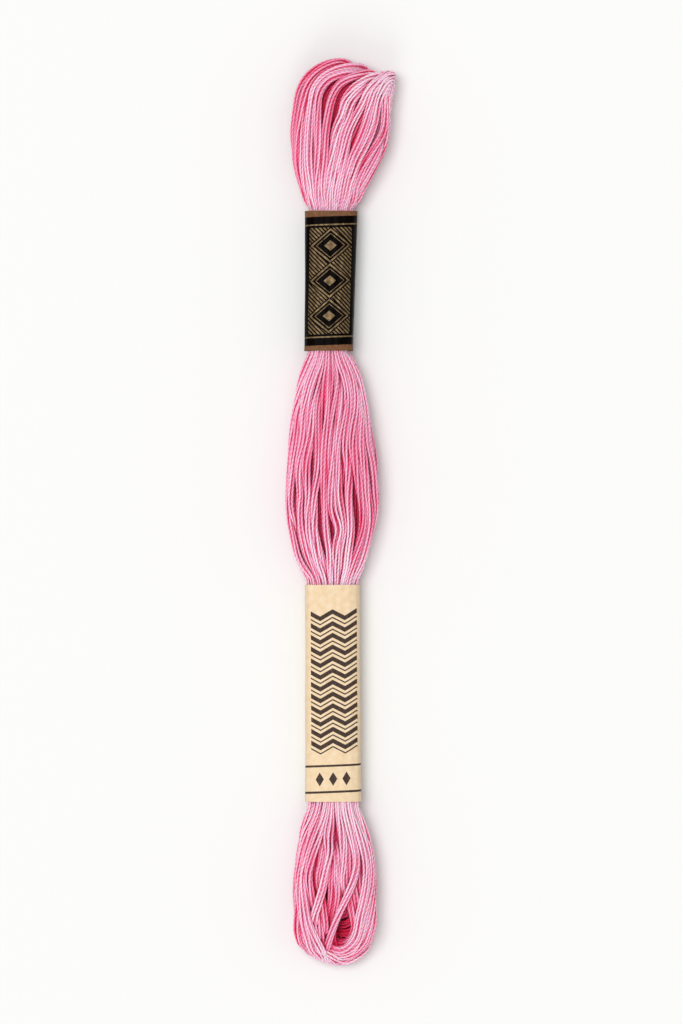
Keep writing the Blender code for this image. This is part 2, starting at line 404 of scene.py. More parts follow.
def leg_knots(layer, member, low, high):
    """Knots of one pass between two heights, going up."""
    knots = []
    for y in np.arange(low, high + 0.01, LEG_STEP):
        x, z = place_at(layer, member, y)
        loose = 1 - near_band(y, 8.0)
        phases = wander_seed[layer, member]
        x += parted(x, y, layer, member)
        x, z = bowed(x, y, z, layer, member)
        x += 0.16 * loose * (math.sin(y / 5.1 + phases[0]) + 0.4 * math.sin(y / 3.1 + phases[1]))
        z += 0.16 * loose * (math.sin(y / 6.3 + phases[2]) + 0.4 * math.sin(y / 3.6 + phases[3]))
        knots.append((x, y, z))
    return knots


print("Knots of one pass:", len(leg_knots(0, 0, -66.0, 54.0)))

# %% [markdown]
# The arched end. Seen from above, the floss fans out of the band, the left part swings over the
# top, the right part leans over to the right, and all of it meets in one sharp fold at the upper
# right. From there it comes back underneath. Nine lines, read from the photograph, carry the fan;
# every strand is a blend of the two lines that it lies between.

# %% Lines of the fan
FAN_SHARES = (0.0, 0.174, 0.261, 0.348, 0.435, 0.70, 0.783, 0.87, 1.0)
FAN_LINES = np.array([
    [(-5.9, 54.4), (-7.7, 58.3), (-8.6, 62.8), (-8.9, 67.7), (-8.5, 72.5), (-7.2, 76.6),
     (-4.9, 79.3), (-1.7, 80.8), (1.4, 80.9), (4.2, 79.9), (6.4, 78.1)],
    [(-4.5, 54.4), (-5.6, 58.6), (-6.0, 63.1), (-6.1, 68.0), (-5.8, 72.2), (-5.1, 75.2),
     (-3.5, 77.5), (-1.2, 79.1), (1.4, 79.6), (4.4, 79.1), (6.9, 77.6)],
    [(-3.8, 54.4), (-4.2, 58.8), (-4.4, 63.4), (-4.4, 68.0), (-4.5, 72.0), (-4.3, 74.9),
     (-3.0, 77.2), (-0.9, 78.3), (1.8, 78.6), (4.4, 78.3), (7.2, 77.7)],
    [(-3.0, 54.4), (-3.0, 58.6), (-3.0, 63.0), (-2.9, 67.3), (-2.3, 71.6), (-1.6, 74.2),
     (-0.3, 76.4), (1.7, 77.5), (3.9, 77.9), (6.2, 78.1), (8.2, 78.4)],
    [(-2.2, 54.4), (-1.6, 58.8), (-1.0, 63.2), (-0.4, 68.0), (0.4, 71.0), (1.0, 73.2),
     (2.4, 75.0), (4.2, 76.3), (6.0, 77.3), (7.9, 78.3), (9.3, 79.0)],
    [(0.0, 54.4), (0.4, 58.8), (1.2, 62.6), (2.5, 66.2), (3.9, 69.4), (5.1, 72.2),
     (6.2, 74.5), (7.3, 76.4), (8.4, 77.8), (9.3, 78.6), (9.9, 78.8)],
    [(0.6, 54.4), (1.2, 58.8), (2.4, 62.4), (4.1, 65.9), (5.6, 69.2), (6.4, 72.0),
     (6.9, 74.3), (7.6, 76.0), (8.7, 77.3), (9.6, 78.0), (10.1, 78.2)],
    [(1.3, 54.4), (2.5, 58.6), (4.0, 62.0), (5.9, 65.4), (7.4, 68.6), (8.0, 71.6),
     (8.3, 73.9), (8.7, 75.6), (9.3, 76.8), (9.8, 77.3), (10.1, 77.4)],
    [(2.1, 54.4), (3.9, 58.3), (5.7, 61.9), (7.4, 65.2), (8.5, 68.6), (9.0, 71.8),
     (9.3, 73.8), (9.6, 75.2), (9.9, 76.0), (10.1, 76.3), (10.1, 76.4)],
])
# The way back, under the fan: its left line crosses below, its right line shows at the right edge.
BACK_LINES = np.array([
    [(8.0, 76.8), (5.6, 74.4), (2.4, 71.4), (-1.4, 68.0), (-4.0, 64.0), (-4.9, 59.6)],
    [(9.4, 74.8), (8.7, 73.0), (7.9, 70.8), (7.0, 68.0), (5.8, 64.2), (4.1, 59.7)],
])
STRAND_RADIUS = 0.55
# Some strands of the upper layer run a little lower, so the others stand out as ridges.
DIPS = {1: 0.07, 7: 0.04, 10: 0.14, 11: 0.14}
# How deep the strands of the second layer run: shallow in the lobe, deeper under the slits.
DEPTHS = (0.70, 0.10, 0.12, 0.28, 0.28, 0.12, 0.20, 0.08, 0.10, 0.30, 0.20, 0.30)
# The first of them runs far below, under the wide slit, so that no table shows through.
UNDER_SHARES = {0: 0.37}
# Partings of the fan: middle x, middle y, half length, how far it opens.
FAN_PARTINGS = (
    (2.2, 66.4, 4.5, 0.50), (0.2, 66.5, 3.0, 0.30), (2.4, 72.6, 3.5, 0.40), (4.0, 69.6, 4.0, 0.35),
    (-7.2, 72.0, 7.0, 0.30), (-5.2, 64.0, 6.0, 0.25), (7.2, 71.0, 6.0, 0.30),
)


def fan_line(share):
    """The fan's line at that share of the way from left to right."""
    place = np.interp(share, FAN_SHARES, range(len(FAN_SHARES)))
    before = min(int(place), len(FAN_SHARES) - 2)
    return FAN_LINES[before] * (before + 1 - place) + FAN_LINES[before + 1] * (place - before)


def arch_knots(layer, member, back_layer, back_member):
    """One turn over the arched end: up in front, over, and back underneath."""
    share = (member + 0.5 * layer) / (PER_LAYER - 0.5)
    if layer == 1:
        share = UNDER_SHARES.get(member, share)
    line = fan_line(share).copy()
    rising = slice(0, 8)
    for middle_x, middle_y, half_length, opening in FAN_PARTINGS:
        side = 1.0 if np.interp(middle_y, line[rising, 1], line[rising, 0]) > middle_x else -1.0
        lens = np.clip(1 - ((line[rising, 1] - middle_y) / half_length) ** 2, 0, 1) ** 1.5
        line[rising, 0] += side * opening * lens * np.exp(-(((line[rising, 0] - middle_x) / 2.2) ** 2))
    run = np.linspace(0, 1, len(line))
    upper = skin_height(line[:, 0], line[:, 1], STRAND_RADIUS, 1)
    lower = skin_height(line[:, 0], line[:, 1], STRAND_RADIUS, -1)
    sunk = DIPS.get(member, 0.0) if layer == 0 else DEPTHS[member]
    height = upper - sunk * (upper - lower) * smooth(run * 4)
    goes_under = smooth((0.42 - member / PER_LAYER) * 6)
    height -= (0.6 + 2.8 * goes_under) * smooth((run - 0.72) / 0.28)
    there = np.column_stack([line, height])
    share = back_member / (PER_LAYER - 1)
    line = BACK_LINES[0] * (1 - share) + BACK_LINES[1] * share
    shows = smooth((share - 0.6) / 0.3)
    under = 0.8 if back_layer == 3 else 2.4
    beside = 2.2 if back_layer == 3 else 3.8
    low = under * (1 - shows) + beside * shows
    height = low + (2.6 - 0.5 * low) * smooth(1 - np.arange(len(line)) / 2.0)
    return list(there) + list(np.column_stack([line, height]))


print("Knots of one turn over the arch:", len(arch_knots(0, 3, 3, 3)))

# %% [markdown]
# The round end is a plain U-turn in the plane of the table. The twist of the ring shows here:
# what comes down in front on one side goes up behind on the other. So one family of turns sinks
# as it goes round and the other rises, and the first family keeps to the outside. The inner turns
# are looser: each has its own line, read from the photograph, and a few cross on a slant.

# %% Turns round the bend
BEND_ANGLES = np.array([196, 214, 232, 250, 268, 286, 304, 322, 342])
rim_angles = np.radians(BEND_RAYS)
rim_reach = np.linalg.norm(np.array(bend_rim) - BEND_MIDDLE, axis=1)
# Two of the inner turns cross the others on a slant, and one of these hangs over the eye. The rest
# pass to the left and right of the eye, or close it, deep down.
LOOSE_BENDS = {
    (0, 8): [
        (-4.4, -70.0, 1.6), (-4.2, -74.8, 1.6), (-3.3, -78.4, 2.8), (-2.5, -78.6, 5.2),
        (-2.0, -76.6, 6.6), (-1.3, -74.0, 7.6), (-0.3, -71.4, 8.4), (1.0, -68.6, 8.7),
        (2.2, -65.8, 8.6), (2.9, -63.0, 8.3)
    ],
    (0, 5): [
        (-2.0, -61.2, 8.8), (-2.7, -64.0, 9.0), (-3.7, -66.8, 8.9), (-4.7, -69.6, 8.5),
        (-5.5, -72.4, 7.8), (-5.7, -75.2, 7.0), (-4.7, -77.8, 5.9), (-2.8, -79.6, 4.6),
        (0.0, -80.3, 3.2), (3.2, -79.0, 2.4), (4.6, -75.8, 1.6), (3.6, -72.4, 1.0),
        (2.4, -69.4, 0.9)
    ],
    (1, 5): [
        (-0.8, -61.5, 8.0), (-0.7, -64.5, 8.3), (-0.6, -67.5, 8.0), (-0.7, -70.0, 7.5),
        (-1.2, -72.6, 6.9), (-1.9, -75.2, 6.2), (-2.0, -77.6, 5.2), (-1.0, -79.4, 4.0),
        (0.8, -79.8, 2.8), (2.2, -78.4, 2.0), (2.1, -76.2, 1.3), (1.0, -74.9, 0.9),
        (0.6, -72.6, 0.8), (0.4, -69.4, 0.9)
    ],
    (1, 4): [
        (-1.9, -63.0, 7.9), (-1.8, -66.0, 7.7), (-1.9, -69.5, 7.2), (-2.4, -72.8, 6.5),
        (-2.9, -75.8, 5.6), (-2.6, -78.0, 4.6), (-1.2, -79.8, 3.6), (1.4, -80.4, 3.0),
        (4.4, -78.6, 2.4), (5.4, -75.2, 2.2), (4.4, -71.4, 2.2), (3.0, -68.6, 2.3)
    ],
    (0, 6): [
        (-1.8, -70.0, 2.2), (-2.2, -74.5, 2.4), (-1.7, -77.0, 3.4), (-0.4, -78.0, 4.8),
        (1.3, -77.4, 5.8), (2.5, -75.8, 6.5), (2.8, -73.4, 6.9), (2.2, -70.6, 7.1),
        (1.0, -67.8, 7.4)
    ],
    (0, 7): [
        (-3.0, -70.0, 2.0), (-3.2, -74.8, 2.2), (-2.4, -78.2, 3.2), (-0.5, -79.4, 4.2),
        (1.9, -78.7, 5.2), (3.6, -76.4, 6.0), (4.0, -73.4, 6.6), (3.3, -70.2, 7.1),
        (2.2, -67.2, 7.5)
    ],
    (1, 6): [
        (-1.5, -68.5, 2.4), (-1.2, -70.4, 3.2), (-0.5, -71.9, 4.2), (0.4, -72.4, 5.0),
        (1.2, -71.6, 5.4), (1.5, -70.0, 5.8), (1.5, -68.4, 6.0)
    ],
    (1, 7): [
        (-2.4, -69.5, 1.4), (-2.0, -72.2, 1.8), (-1.0, -73.6, 3.0), (0.4, -73.9, 3.9),
        (1.8, -73.0, 4.4), (2.5, -71.4, 4.8), (2.6, -69.0, 5.8)
    ],
    (1, 8): [
        (-3.6, -70.0, 1.4), (-3.0, -73.6, 1.8), (-1.4, -75.2, 3.2), (0.5, -75.5, 4.0),
        (2.4, -74.6, 4.4), (3.4, -72.6, 4.6), (3.6, -69.6, 5.6)
    ],
}
# Where the front legs of these turns end; all others end at LEG_LOW.
LOOSE_LOWS = {(0, 8): -60.5, (0, 5): -58.0, (1, 5): -58.5, (1, 4): -60.5}


def bend_knots(left, right, outside):
    """A turn from the left leg to the right one. left and right are (layer, member)."""
    front = left if outside else right
    if front in LOOSE_BENDS:
        return np.array(LOOSE_BENDS[front])
    angles = np.radians(BEND_ANGLES)
    run = (BEND_ANGLES - 180) / 180
    edge = np.interp(angles, rim_angles, rim_reach) - STRAND_RADIUS
    nest_left, nest_right = 1 - left[1] / 5.5, 1 - (PER_LAYER - 1 - right[1]) / 5.5
    nest = nest_left * (1 - smooth(run)) + nest_right * smooth(run)
    heights = (8.2, 6.8, 2.2, 0.8)
    # What comes from the left sinks early, and the innermost soonest. What comes from the right stays up
    # until it is past the eye.
    sunk = smooth(run * (1.45 + (0.4 * max(0, left[1] - 2.5) if outside else 0.0)))
    rise = heights[left[0]] * (1 - sunk) + heights[right[0]] * sunk
    middle = np.sin(run * math.pi) ** 2
    rise = rise + middle * (left[1] - 2.5) * 0.9
    # The upper layer leaves the eye open.
    open_eye = smooth((rise - 1.6) / 2.4) if front[0] == 0 else 0.55
    if front[0] == 1:
        rise = rise - 0.8 * middle
    eye = 0.4 + (1.2 + 2.6 * np.maximum(0, -np.sin(angles)) ** 2) * open_eye
    wide = 0.97 - 0.42 * np.abs(rise - 3.4) / 4 if outside else 0.15 + 0.6 * nest_right
    nest = nest * (1 - middle) + (wide + 0.1 * (nest - 0.5)) * middle
    reach = eye + nest * (edge - eye)
    round_x, round_y = reach * np.cos(angles), reach * np.sin(angles)
    return np.column_stack([BEND_MIDDLE[0] + round_x, BEND_MIDDLE[1] + round_y, rise])


print("Knots of one turn round the bend:", len(bend_knots((0, 2), (2, 9), True)))

# %% [markdown]
# Now the winding itself. Even turns lie on the left, odd turns on the right. Each goes up in
# front, over the arch, down behind, and round the bend to the front of the other side. Both ends
# of the thread stay hidden under the lower band.

# %% Wind the thread
LEG_LOW, LEG_HIGH = -66.0, 53.0
HIDDEN_END = -30.0
PATH_STEP = 1.2


def turn_places(turn):
    """(front, back) places of a turn, each as (layer, member)."""
    rank = turn // 2
    member, deep = rank // 2, rank % 2
    member = member if turn % 2 == 0 else PER_LAYER - 1 - member
    return (deep, member), (3 - (1 - deep), member)


knots = []
for turn in range(TURNS):
    front, back = turn_places(turn)
    low = LOOSE_LOWS.get(front, LEG_LOW)
    knots += leg_knots(*front, HIDDEN_END if turn == 0 else low, LEG_HIGH)
    knots += arch_knots(*front, *back)
    last = turn == TURNS - 1
    knots += leg_knots(*back, HIDDEN_END if last else LEG_LOW, LEG_HIGH)[::-1]
    if not last:
        following = turn_places(turn + 1)[0]
        if turn % 2 == 0:
            knots += list(bend_knots(back, following, False))
        else:
            knots += list(bend_knots(following, back, True))[::-1]
bundle = through(knots, PATH_STEP)
length = np.linalg.norm(np.diff(bundle, axis=0), axis=1).sum()
print("Thread:", TURNS, "turns,", len(bundle), "points,", round(length / 1000, 2), "m")

# %% [markdown]
# The lines cross each other and leave gaps, which real thread doesn't. So they are relaxed: any
# two points nearer than a thread's thickness push apart, each point is drawn towards the middle
# of its neighbours on the thread, a little towards where it began, and back inside the skin.
# Pushing works across the thread only, so that neighbours don't slide along each other.

# %% Relax threads against each other
def tangents(points, starts):
    """Direction of the thread at each point. starts holds where each thread begins and ends."""
    along = np.empty_like(points)
    for first, last in zip(starts, starts[1:]):
        along[first:last] = np.gradient(points[first:last], axis=0)
    return along / np.linalg.norm(along, axis=1)[:, None]


def near_pairs(points, reach, order, skip):
    """Pairs of points nearer than reach that aren't close neighbours on one thread."""
    tree = kdtree.KDTree(len(points))
    for index, point in enumerate(points):
        tree.insert(point, index)
    tree.balance()
    pairs = []
    for index, point in enumerate(points.tolist()):
        for _, other, _ in tree.find_range(point, reach):
            if other > index and order[other] - order[index] > skip:
                pairs.append((index, other))
    return np.array(pairs).T


def relax(points, starts, thickness, sweeps, firmness, anchor, reach, renew=8):
    """Pushes threads apart until they lie side by side. thickness is one number for each point."""
    home = points.copy()
    order = np.arange(len(points)) + 1000 * np.repeat(np.arange(len(starts) - 1), np.diff(starts))
    inner = np.ones(len(points), bool)
    inner[starts[:-1]] = False
    inner[np.array(starts[1:]) - 1] = False
    inside = np.flatnonzero(inner)
    step = np.linalg.norm(points[1] - points[0])
    home_bend = (home[inside - 1] + home[inside + 1]) / 2 - home[inside]
    tightest = 0.5 / thickness.max()
    for sweep in range(sweeps):
        if sweep % renew == 0:
            one, two = near_pairs(points, reach, order, int(2.5 * thickness.max() / step))
            directions = tangents(points, starts)
        gap = points[two] - points[one]
        along = (gap * directions[one]).sum(1)
        across = gap - along[:, None] * directions[one]
        distance = np.maximum(np.linalg.norm(across, axis=1), 0.02)
        wanted = (thickness[one] + thickness[two]) / 2
        near = np.clip(1.6 - np.abs(along) / step, 0, 1)
        push = np.maximum(wanted - distance, 0) * near / distance * 0.5 * firmness
        push = push[:, None] * across
        total = np.zeros_like(points)
        for axis in range(3):
            total[:, axis] += np.bincount(two, push[:, axis], len(points))
            total[:, axis] -= np.bincount(one, push[:, axis], len(points))
        size = np.linalg.norm(total, axis=1)
        total *= (np.minimum(size, 0.3) / np.maximum(size, 1e-9))[:, None]
        points += total
        bend = (points[inside - 1] + points[inside + 1]) / 2 - points[inside]
        tight = smooth(np.linalg.norm(bend, axis=1) / (tightest * step * step) - 1.0)[:, None]
        points[inside] += 0.35 * (bend - home_bend * (1 - tight))
        points += anchor * (home - points)
        draw_back(points, thickness / 2)
    left = float((np.maximum(wanted - distance, 0) * (near > 0.5)).mean())
    print("Relaxed", len(points), "points,", len(one), "pairs; mean overlap left:", round(left, 3), "mm")
    return points


def strand_thickness(y):
    """A bundle of six is packed tight by the paper and by the bend, and is looser elsewhere."""
    return 1.15 - 0.17 * near_band(y, 7.0) - 0.06 * smooth((-71.0 - y) / 5.0)


BUNDLE_STEP = 0.8
sweeps = 80
bundle_sizes = strand_thickness(bundle[:, 1])
bundle = relax(bundle, [0, len(bundle)], bundle_sizes, sweeps, firmness=0.8, anchor=0.035, reach=1.5)
bundle = resample(bundle, BUNDLE_STEP)
print("Bundle after relaxing:", len(bundle), "points")

# %% [markdown]
# Each bundle is six strands that run side by side with next to no twist. Here they are laid round
# the bundle's line: the sixth in the middle and five round it, turning slowly and wandering a
# little. The six are pressed flat against the skin of the hank, so that the bundles close up and
# spread; round the belly's eye they stay rounder. Then the same relaxing settles every strand
# against its neighbours.

# %% Split the bundle into six strands
PLIES = 6
PLY_TURN = 46.0
# How far the five stand off the sixth, and how much closer where paper holds them.
RING, SQUEEZE = 0.40, 0.06
# How far a strand wanders, and how many points apart it changes its way.
WANDER, WANDER_STEP = 0.09, 12


def carried_frame(points):
    """Two directions across the line at each point, carried along it without twisting."""
    along = tangents(points, [0, len(points)])
    side = np.empty_like(points)
    current = np.cross(along[0], (0.0, 0.0, 1.0))
    for index, direction in enumerate(along):
        current = current - (current @ direction) * direction
        current = current / math.sqrt(current @ current)
        side[index] = current
    return side, np.cross(along, side)


def slow_noise(count, spacing, size):
    """A smooth random line, one value for each point, with a knot every so many points."""
    knots = chance.normal(0, size, count // spacing + 3)
    return np.interp(np.arange(count), np.arange(len(knots)) * spacing, knots)


def flattened(offset, points, flat):
    """Presses an offset flat against the skin: less outwards, more along it."""
    x, y, z = points.T
    left, right = edges_at(y)
    middle, half = level_at(y)
    aside = (x - (left + right) / 2) / ((right - left) / 2) ** 2
    outward = np.column_stack([aside, np.zeros(len(points)), (z - middle) / half**2])
    outward /= np.maximum(np.linalg.norm(outward, axis=1), 1e-6)[:, None]
    out = (offset * outward).sum(1)[:, None] * outward
    return offset + flat[:, None] * (0.8 * (offset - out) - 0.6 * out)


side, up = carried_frame(bundle)
count = len(bundle)
turning = np.arange(count) * BUNDLE_STEP / PLY_TURN * 2 * math.pi + np.cumsum(slow_noise(count, 20, 0.05))
rows = bundle[:, 1]
held = near_band(rows, 6.0)
# Flattest in the belly, less so in the bend, in the arch and round the belly's eye.
flat = (1 - held) * (0.6 - 0.3 * smooth((-58 - rows) / 5) - 0.15 * smooth((rows - 60) / 5))
flat -= (1 - held) * 0.35 * np.exp(-(((rows + 2.0) / 8.0) ** 2))
plies = []
for ply in range(PLIES):
    angle = turning + ply * 2 * math.pi / (PLIES - 1)
    ring = 0.0 if ply == PLIES - 1 else RING - SQUEEZE * held
    a = ring * np.cos(angle) + slow_noise(count, WANDER_STEP, WANDER) * (1 - 0.7 * held)
    b = ring * np.sin(angle) + slow_noise(count, WANDER_STEP, WANDER) * (1 - 0.7 * held)
    plies.append(bundle + flattened(a[:, None] * side + b[:, None] * up, bundle, flat))
strands = np.vstack(plies)
starts = [ply * count for ply in range(PLIES + 1)]


def ply_thickness(y):
    """A single strand: 0.36 mm where the paper squeezes it, 0.40 mm where it is free."""
    return 0.40 - 0.04 * near_band(y, 6.0)


ply_sizes = ply_thickness(strands[:, 1])
strands = relax(strands, starts, ply_sizes, 24, firmness=0.6, anchor=0.12, reach=0.72, renew=6)
plies = np.split(strands, PLIES)


# How far round a strand neighbours count, and how far inside the skin the buried ones begin.
OPEN_REACH = 1.5
SKIN_ROOM = 0.3


def open_sides(points, reach):
    """For each point, the direction in which it has no neighbours, longer the more open it is."""
    order = np.arange(len(points))
    one, two = near_pairs(points, reach, order, 3)
    directions = tangents(points, starts)
    gap = points[one] - points[two]
    gap -= (gap * directions[one]).sum(1)[:, None] * directions[one]
    distance = np.maximum(np.linalg.norm(gap, axis=1), 0.05)
    push = gap / distance[:, None] * np.clip(1 - distance / reach, 0, 1)[:, None]
    found = np.zeros_like(points)
    for axis in range(3):
        found[:, axis] += np.bincount(one, push[:, axis], len(points))
        found[:, axis] -= np.bincount(two, push[:, axis], len(points))
    return found


def buried(points):
    """0 at the skin of the hank, 1 deep inside it."""
    x, y, z = points.T
    reach, square = skin_shape(y)
    middle, half = level_at(y)
    half = half - SKIN_ROOM
    rim = np.clip(1 - (read_map(depth_map, x, y) - SKIN_ROOM) / reach, 0, 1)
    out = (rim**square + np.abs((z - middle) / half) ** square) ** (1 / square)
    return smooth((0.94 - out) / 0.40)


opens = open_sides(strands, OPEN_REACH)
sizes = np.linalg.norm(opens, axis=1)
print("Openness, 10th, 50th and 90th of 100:", np.percentile(sizes, [10, 50, 90]).round(2))
opens = np.split(opens / np.percentile(sizes, 85), PLIES)
print("Strands:", PLIES, "lines of", count, "points,", round(count * BUNDLE_STEP / 1000, 2), "m each")

# %% [markdown]
# ## Tubes
# A strand is drawn as a tube with a few sides and smooth shading. All tubes of a few turns make
# one piece, built straight from arrays, because hundreds of thousands of faces are too many to
# add one by one. Each tube carries its own measures: which part of the way round a point lies, and
# how many millimetres along, so that the twist of the yarn can be drawn at its real size.

# %% A mesh of many tubes
SIDES = 7
TURNS_PER_PIECE = 4
# On the sheet for baked colours the strands lie side by side in short strips.
STRIP_LENGTH, STRIP_GAP = 120.0, 6.0
STRIPS = 128
# Under paper few points get a ring, but all do this near to the paper's end.
HIDDEN_EVERY = 5
PAPER_END = 1.6
# Outer fibres touch, so a tube is drawn a little thicker than it is packed.
FUZZ = 0.06
# Painted highlights: the strands on the upper side are painted lighter round the belly's eye
# and on the right of the fan. Middle x and y, half width, half height, how much lighter.
PAINTED_HIGHLIGHTS = ((-1.5, -2.5, 2.0, 5.0, 0.35), (3.6, 73.5, 3.0, 5.0, 0.30))
UPPER_HALF = 5.0


def kept_rings(line):
    """Which points of a strand get a ring: all in the open, few where paper hides them."""
    deep = from_band(line[:, 1]) <= 0
    hidden = deep & (np.arange(len(line)) % HIDDEN_EVERY != 0)
    for ends in band_ends.values():
        for end in ends:
            hidden &= np.abs(line[:, 1] - end) >= PAPER_END
    hidden[[0, -1]] = False
    return np.flatnonzero(~hidden)


def tube(line, lengths, radius, shade, opening, first_vertex, first_length):
    """Vertices, faces and their values for one tube."""
    side, up = carried_frame(line)
    angles = np.arange(SIDES) / SIDES * 2 * math.pi
    ring = np.cos(angles)[None, :, None] * side[:, None, :] + np.sin(angles)[None, :, None] * up[:, None, :]
    vertices = (line[:, None, :] + radius[:, None, None] * ring).reshape(-1, 3)
    k, s = np.meshgrid(np.arange(len(line) - 1), np.arange(SIDES), indexing="ij")
    k, s = k.ravel(), s.ravel()
    after = (s + 1) % SIDES
    here, ahead = k * SIDES, (k + 1) * SIDES
    faces = np.column_stack([here + s, here + after, ahead + after, ahead + s])
    around = np.column_stack([s, s + 1, s + 1, s]) / SIDES
    along = np.column_stack([lengths[k], lengths[k], lengths[k + 1], lengths[k + 1]])
    total = first_length + along
    strip = np.floor(total[:, :1] / STRIP_LENGTH)
    bake_along = (total - strip * STRIP_LENGTH) / (STRIP_LENGTH + STRIP_GAP)
    bake_across = (strip + 0.12 + 0.76 * around) / STRIPS
    bake = np.stack([bake_along, bake_across], axis=-1)
    thread = np.stack([around, along], axis=-1)
    # Painted light and shade: a strand is painted lighter on the side away from its neighbours and darker
    # between them.
    lit = np.clip(0.25 + 0.75 * (ring * opening[:, None, :]).sum(2).ravel(), 0, 1)
    # Painted light and shade: the floss is painted a little darker by the upper band and a little lighter by
    # the lower one.
    x, y, z = vertices.T
    painted_light_by_lower_band = 0.30 * near_band(y, 13.0) - 0.25 * near_band(y, 5.0)
    painted_band_light = np.where(y > 0, -0.14 * near_band(y, 9.0), painted_light_by_lower_band)
    # Painted highlights on the upper side of the hank.
    painted_highlight = np.zeros(len(vertices))
    for middle_x, middle_y, width, height, much in PAINTED_HIGHLIGHTS:
        away = ((x - middle_x) / width) ** 2 + ((y - middle_y) / height) ** 2
        painted_highlight += much * np.exp(-away) * (z > UPPER_HALF)
    # Painted shade: strands deep inside the hank are painted darker, which the floss material turns crimson.
    lit = lit * (1 - 0.9 * buried(vertices)) * (1 + painted_band_light + painted_highlight)
    return vertices, faces + first_vertex, thread, bake, np.repeat(shade, SIDES), lit


def in_scene(name, data):
    """A new object of that data, in the scene."""
    made = bpy.data.objects.new(name, data)
    bpy.context.scene.collection.objects.link(made)
    return made


def mesh_object(name, vertices, faces, maps, values):
    """A smooth quad mesh with UV maps and one number for each vertex."""
    mesh = bpy.data.meshes.new(name)
    mesh.vertices.add(len(vertices))
    mesh.vertices.foreach_set("co", (vertices * MM).astype(np.float32).ravel())
    mesh.loops.add(4 * len(faces))
    mesh.loops.foreach_set("vertex_index", faces.astype(np.int32).ravel())
    mesh.polygons.add(len(faces))
    mesh.polygons.foreach_set("loop_start", np.arange(0, 4 * len(faces), 4, dtype=np.int32))
    mesh.update(calc_edges=True)
    for title, coordinates in maps.items():
        layer = mesh.uv_layers.new(name=title)
        layer.uv.foreach_set("vector", coordinates.astype(np.float32).ravel())
    for title, numbers in values.items():
        attribute = mesh.attributes.new(title, "FLOAT", "POINT")
        attribute.data.foreach_set("value", numbers.astype(np.float32))
    mesh.polygons.foreach_set("use_smooth", np.ones(len(faces), bool))
    mesh.validate()
    return in_scene(name, mesh)


turn_ends = np.linspace(0, count, TURNS // TURNS_PER_PIECE + 1).astype(int)
# A piece ends where paper hides the cut, inside the lower band, within half a step.
hideout = np.flatnonzero(np.abs(bundle[:, 1] - HIDDEN_END) < 0.41)
turn_ends = [0] + [int(hideout[np.argmin(np.abs(hideout - end))]) for end in turn_ends[1:-1]] + [count - 1]
floss_pieces = []
# The dye is uneven: the shade of all six together wanders slowly, and each strand's a little faster.
lock_shade = slow_noise(count, 45, 0.16)
for piece, (first, last) in enumerate(zip(turn_ends, turn_ends[1:])):
    parts = []
    vertex_count, run = 0, 0.0
    for ply, whole in enumerate(plies):
        line = whole[first : last + 1]
        rings = kept_rings(line)
        lengths = lengths_along(line)[rings]
        line = line[rings]
        radius = 0.5 * (ply_thickness(line[:, 1]) + FUZZ)
        radius = radius * (1 + 0.05 * np.sin(lengths / 3.1 + ply) * np.sin(lengths / 1.3 + 2 * ply))
        line[:, 2] = np.maximum(line[:, 2], radius)
        shade = 0.5 + slow_noise(len(rings), 14, 0.11) + chance.normal(0, 0.06)
        shade = np.clip(shade + lock_shade[first : last + 1][rings], 0, 1)
        opening = opens[ply][first : last + 1][rings]
        parts.append(tube(line, lengths, radius, shade, opening, vertex_count, run))
        vertex_count += len(rings) * SIDES
        run += lengths[-1]
    vertices, faces, thread, bake, shade, lit = (np.concatenate(column) for column in zip(*parts))
    maps = {"thread": thread.reshape(-1, 2), "OFBake": bake.reshape(-1, 2)}
    made = mesh_object(f"floss_turns_{piece + 1}", vertices, faces, maps, {"shade": shade, "lit": lit})
    floss_pieces.append(made)
    print(made.name, 2 * len(faces), "triangles,", round(run / 1000, 2), "m of strand")

# %% [markdown]
# ## Paper bands
# A label is a strip of paper wound once round the thread and glued to itself at the back, where a
# lap shows. A modelled box would look like plastic: paper is 0.13 mm thin, its edges lift a
# little, and the thread shows through it as faint ridges. So the sheet is laid point by point on
# the rounded section felt on the CAD band, and carries its print in millimetres.

# %% Wind a sheet of paper
PAPER = 0.13
LAP = 3.5
LAP_START = 1.5
AROUND = 170
ROUNDNESS = 3.0
# The print map's height on faces that aren't printed, far below the print.
NO_PRINT = -20.0


def section(left, right, marks):
    """Points and outward directions on the band's rounded section, at arc lengths from its back."""
    turn = np.linspace(-0.5 * math.pi, 1.5 * math.pi, 721)

    def rounded(low, high, share):
        return (low + high) / 2 + (high - low) / 2 * np.sign(share) * np.abs(share) ** (2 / ROUNDNESS)

    x, z = rounded(left, right, np.cos(turn)), rounded(BAND_UNDER, BAND_TOP, np.sin(turn))
    lengths = np.r_[0, np.cumsum(np.hypot(np.diff(x), np.diff(z)))]
    wrapped = marks % lengths[-1]
    ahead, behind = (wrapped + 0.25) % lengths[-1], (wrapped - 0.25) % lengths[-1]
    point = np.column_stack([np.interp(wrapped, lengths, x), np.interp(wrapped, lengths, z)])
    along = [np.interp(ahead, lengths, column) - np.interp(behind, lengths, column) for column in (x, z)]
    out = np.column_stack([along[1], -along[0]])
    return point, out / np.linalg.norm(out, axis=1)[:, None], lengths[-1]


